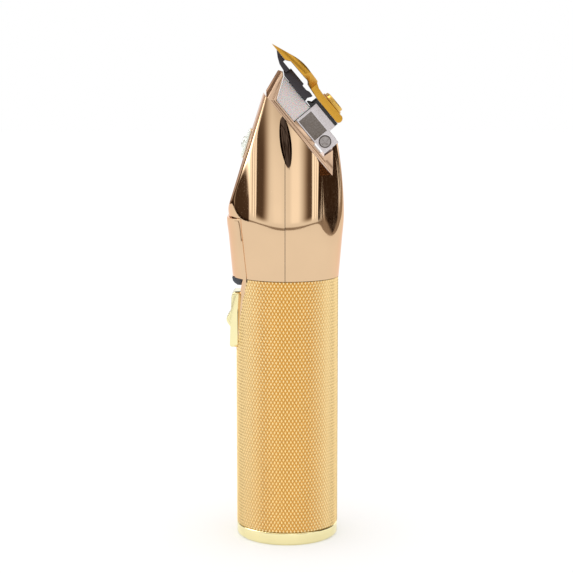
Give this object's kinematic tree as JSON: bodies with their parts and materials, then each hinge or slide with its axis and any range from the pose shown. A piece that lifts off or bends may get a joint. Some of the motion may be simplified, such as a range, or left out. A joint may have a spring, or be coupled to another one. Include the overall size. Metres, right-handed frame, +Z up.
{
  "type": "cordless hair clipper",
  "caption": "Upright cordless hair clipper: knurled round grip, faceted bright head, slanted exposed T-blade, thumb slide switch and charging socket in the foot.",
  "frame": {"origin": "centre of the end cap's flat foot", "axes": "+Z up along the grip's axis, -Y to the thumb side with the slide switch, X along the cutter's stroke"},
  "size_m": [0.04, 0.0368, 0.1543],
  "materials": {
    "knurled_gold": "knurled, satin gold anodised",
    "polished_gold": "polished pale gold",
    "rose_chrome": "mirror-bright rose gold plating",
    "rose_satin": "satin rose gold plating",
    "screw_grey": "blackened steel screw",
    "pearl_white": "pale pearl plating",
    "blade_gold": "deep gold nitride coating, semi-gloss",
    "blade_black": "black coating, semi-gloss",
    "screw_gold": "gold-plated screw",
    "bracket_steel": "bead-blasted steel",
    "white_plastic": "translucent acetal",
    "black_plastic": "fine-grained",
    "lens_smoke": "smoked clear",
    "bare_steel": "machined steel",
    "copper": "enamelled copper",
    "bronze": "sintered bronze",
    "magnet_grey": "nickel-flashed magnet",
    "board_green": "solder-masked glass fibre",
    "chip_black": "moulded package",
    "cell_steel": "cell can",
    "wrap_blue": "shrink sleeve",
    "rubber_black": "moulded seal",
    "lead_red": "lead insulation"
  },
  "bodies": {
    "handle": {"barrel": "knurled_gold", "end_cap": "polished_gold", "cap_insert": "black_plastic", "charge_socket": "bare_steel", "socket_pin": "bare_steel", "dock_pads": "screw_gold", "cap_o_ring": "rubber_black", "battery_cell": "cell_steel", "battery_wrap": "wrap_blue", "battery_cradle": "black_plastic", "battery_spring": "bare_steel", "battery_contact": "bronze", "circuit_board": "board_green", "board_components": "chip_black", "toggle_switch": "chip_black", "status_led": "lens_smoke", "indicator_lens": "lens_smoke", "switch_housing": "rose_chrome", "switch_plate": "polished_gold", "neck_gasket": "rubber_black", "coupling_ring": "black_plastic", "head_front_shell": "rose_chrome", "head_rear_shell": "rose_chrome", "front_badge": "pearl_white", "motor_can": "bare_steel", "motor_end_bell": "black_plastic", "motor_stator": "bare_steel", "motor_windings": "copper", "motor_lower_bush": "bronze", "motor_upper_bush": "bronze", "motor_mount": "black_plastic", "motor_screws": "bare_steel", "motor_leads": "lead_red", "blade_tray": "rose_satin", "blade_carrier": "white_plastic", "blade_bracket": "bracket_steel", "ear_screws": "screw_grey", "ear_nut_bar": "bare_steel", "blade_shim": "rubber_black", "blade_screws": "screw_gold", "tension_spring": "bare_steel"},
    "rotor": {"motor_shaft": "bare_steel", "rotor_magnet": "magnet_grey", "eccentric_cam": "bronze", "cam_pin": "bare_steel", "cam_roller": "bronze"},
    "slider": {"switch_slider": "polished_gold", "slider_stem": "black_plastic"},
    "fixed_blade": {"fixed_blade": "blade_gold"},
    "cutter": {"cutter_blade": "blade_black", "cutter_carriage": "blade_black", "drive_yoke": "black_plastic"}
  },
  "joints": [
    {"name": "switch_slide", "type": "slide", "parent": "handle", "child": "slider", "axis": [0, 0, 1], "range_m": [0, 0.004]},
    {"name": "motor_spin", "type": "hinge", "parent": "handle", "child": "rotor", "pos_m": [0, 0, 0.1], "axis": [0, 0, 1], "continuous": true},
    {"name": "cutter_stroke", "type": "slide", "parent": "handle", "child": "cutter", "axis": [1, 0, 0], "range_m": [-0.0012, 0.0012]},
    {"name": "blade_gap", "type": "slide", "parent": "handle", "child": "fixed_blade", "axis": [0, 0.6428, -0.766], "range_m": [-0.0004, 0.0004]}
  ]
}
